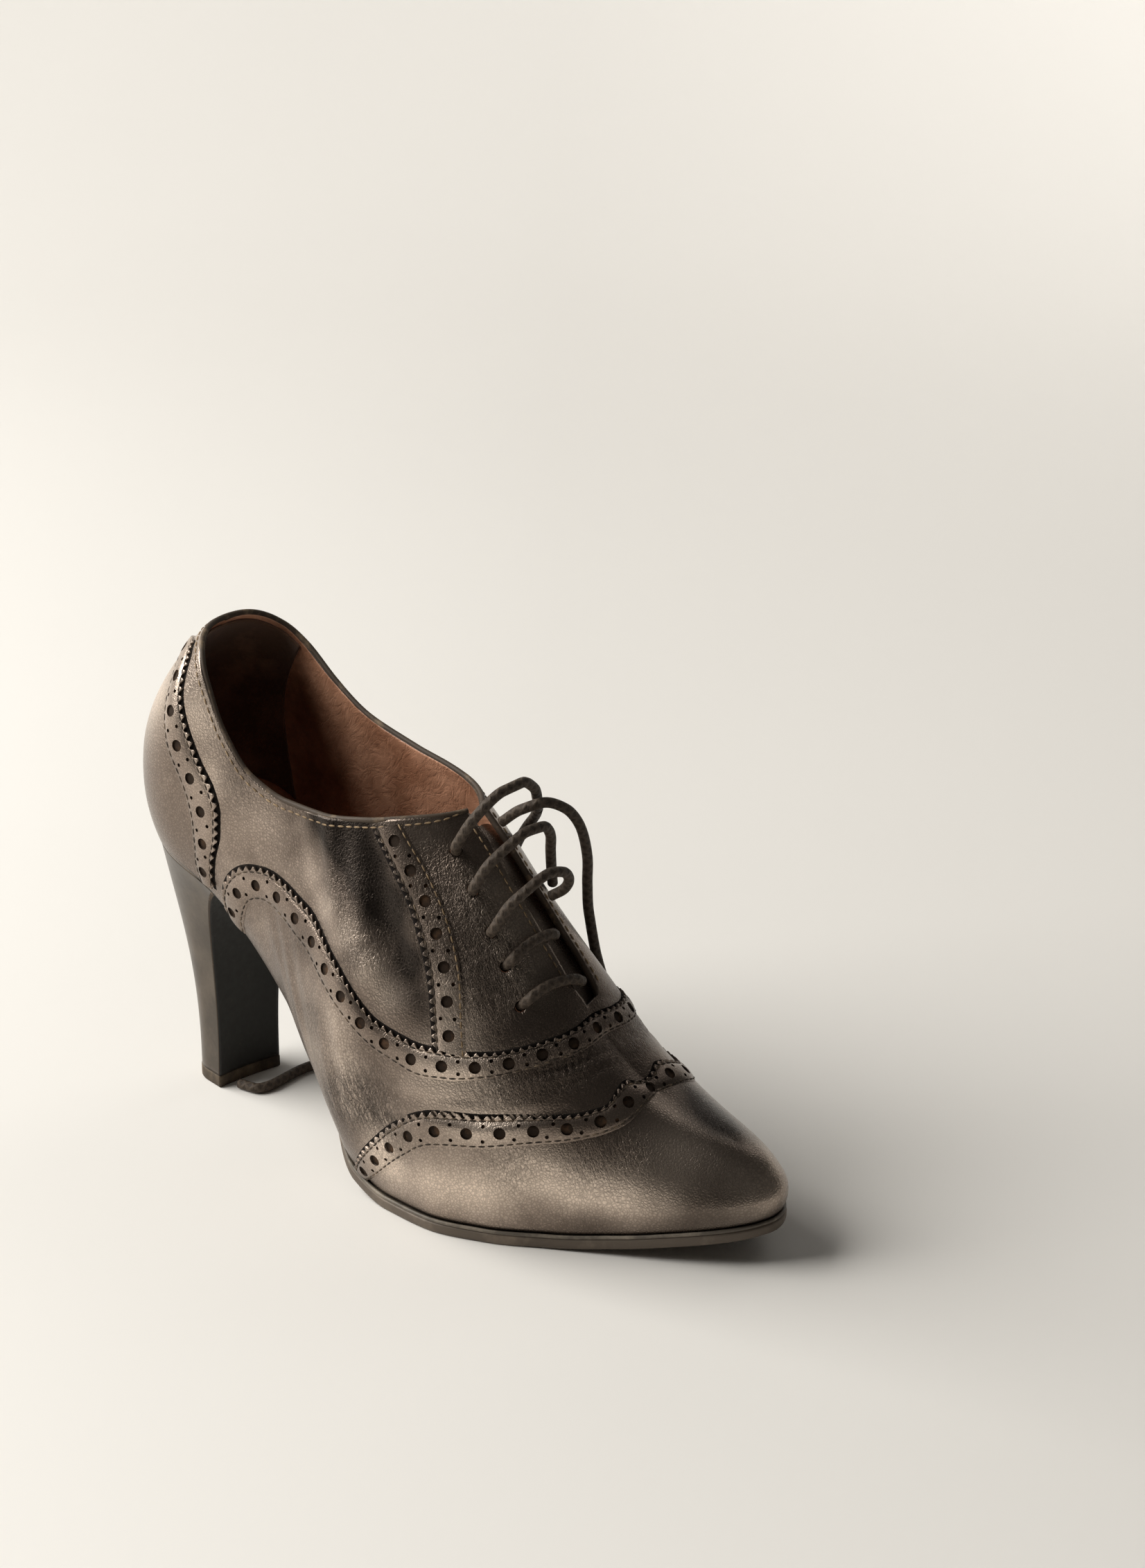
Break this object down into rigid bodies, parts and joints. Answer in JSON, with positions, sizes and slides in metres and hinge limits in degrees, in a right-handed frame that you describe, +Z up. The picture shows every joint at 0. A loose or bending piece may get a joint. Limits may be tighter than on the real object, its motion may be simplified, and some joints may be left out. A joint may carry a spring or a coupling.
{
  "type": "heeled brogue oxford shoe",
  "caption": "Woman's high-heeled brogue oxford in aged pewter leather, with perforated bands, loosened laces and a brown lining, standing empty.",
  "frame": {"origin": "on the floor, under the middle of the shoe's bounding box without its free lace ends", "axes": "+X towards the toe, +Y towards the inner side of the foot, +Z up"},
  "size_m": [0.2228, 0.0896, 0.1523],
  "materials": {
    "upper_leather": "satin",
    "band_leather": "satin",
    "sole": "matte",
    "heel_cover": "satin",
    "tip_rubber": "matte",
    "sock": "matte",
    "lace": "matte"
  },
  "bodies": {
    "root": {"outsole": "sole", "heel": "heel_cover", "heel_tip": "tip_rubber", "insole": "sock", "upper": "upper_leather", "tongue": "upper_leather", "toe_wing_band": "band_leather", "vamp_band": "band_leather", "counter_band_lateral": "band_leather", "counter_band_medial": "band_leather", "facing_band_lateral": "band_leather", "facing_band_medial": "band_leather", "lace_bar_1": "lace", "lace_bar_2": "lace", "lace_bar_3": "lace", "lace_bar_4": "lace", "lace_bar_5": "lace", "lace_end_floor": "lace", "lace_end_medial": "lace"}
  },
  "joints": []
}
